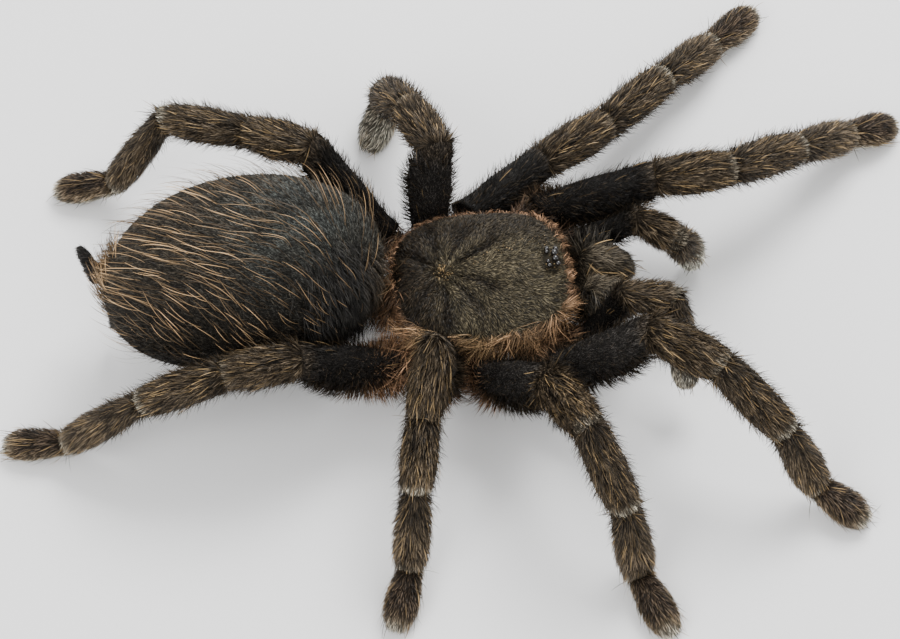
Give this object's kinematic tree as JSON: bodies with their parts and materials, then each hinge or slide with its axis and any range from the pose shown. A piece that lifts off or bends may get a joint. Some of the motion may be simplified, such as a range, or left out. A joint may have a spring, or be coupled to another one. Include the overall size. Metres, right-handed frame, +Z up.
{
  "type": "tarantula specimen",
  "caption": "Large furred spider preserved dry, standing on its feet with its legs spread and a foot curled under.",
  "frame": {"origin": "middle of the footprint's bounding rectangle, on the plane that the feet stand on", "axes": "+X towards the spider's head, +Y to the spider's left, +Z up"},
  "size_m": [0.1286, 0.0988, 0.0295],
  "materials": {
    "black_velvet": "dense black velvet of short hairs",
    "olive_fur": "olive grey-brown fur of long combed bristles",
    "foot_fur": "dark brown fur, paler and denser at the pads",
    "carapace_velvet": "short olive-gold velvet on a hard shield",
    "abdomen_velvet": "dark brown to blue-grey velvet",
    "jaw_fur": "coarse dark grey-brown hairs",
    "fang_horn": "black polished horn"
  },
  "bodies": {
    "root": {"carapace": "carapace_velvet", "breast_plate_and_coxae": "black_velvet", "pedicel": "black_velvet", "abdomen": "abdomen_velvet", "left_spinneret": "black_velvet", "right_spinneret": "black_velvet", "left_chelicera": "jaw_fur", "left_fang": "fang_horn", "right_chelicera": "jaw_fur", "right_fang": "fang_horn", "left_palp_femur": "black_velvet", "left_palp_patella": "olive_fur", "left_palp_tibia": "olive_fur", "left_palp_tarsus": "foot_fur", "right_palp_femur": "black_velvet", "right_palp_patella": "olive_fur", "right_palp_tibia": "olive_fur", "right_palp_tarsus": "foot_fur", "left_leg_1_femur": "black_velvet", "left_leg_1_patella": "olive_fur", "left_leg_1_tibia": "olive_fur", "left_leg_1_metatarsus": "olive_fur", "left_leg_1_tarsus": "foot_fur", "left_leg_2_femur": "black_velvet", "left_leg_2_patella": "olive_fur", "left_leg_2_tibia": "olive_fur", "left_leg_2_metatarsus": "olive_fur", "left_leg_2_tarsus": "foot_fur", "left_leg_3_femur": "black_velvet", "left_leg_3_patella": "olive_fur", "left_leg_3_tibia": "olive_fur", "left_leg_3_metatarsus": "olive_fur", "left_leg_3_tarsus": "foot_fur", "left_leg_4_femur": "black_velvet", "left_leg_4_patella": "olive_fur", "left_leg_4_tibia": "olive_fur", "left_leg_4_metatarsus": "olive_fur", "left_leg_4_tarsus": "foot_fur", "right_leg_1_femur": "black_velvet", "right_leg_1_patella": "olive_fur", "right_leg_1_tibia": "olive_fur", "right_leg_1_metatarsus": "olive_fur", "right_leg_1_tarsus": "foot_fur", "right_leg_2_femur": "black_velvet", "right_leg_2_patella": "olive_fur", "right_leg_2_tibia": "olive_fur", "right_leg_2_metatarsus": "olive_fur", "right_leg_2_tarsus": "foot_fur", "right_leg_3_femur": "black_velvet", "right_leg_3_patella": "olive_fur", "right_leg_3_tibia": "olive_fur", "right_leg_3_metatarsus": "olive_fur", "right_leg_3_tarsus": "foot_fur", "right_leg_4_femur": "black_velvet", "right_leg_4_patella": "olive_fur", "right_leg_4_tibia": "olive_fur", "right_leg_4_metatarsus": "olive_fur", "right_leg_4_tarsus": "foot_fur"}
  },
  "joints": []
}
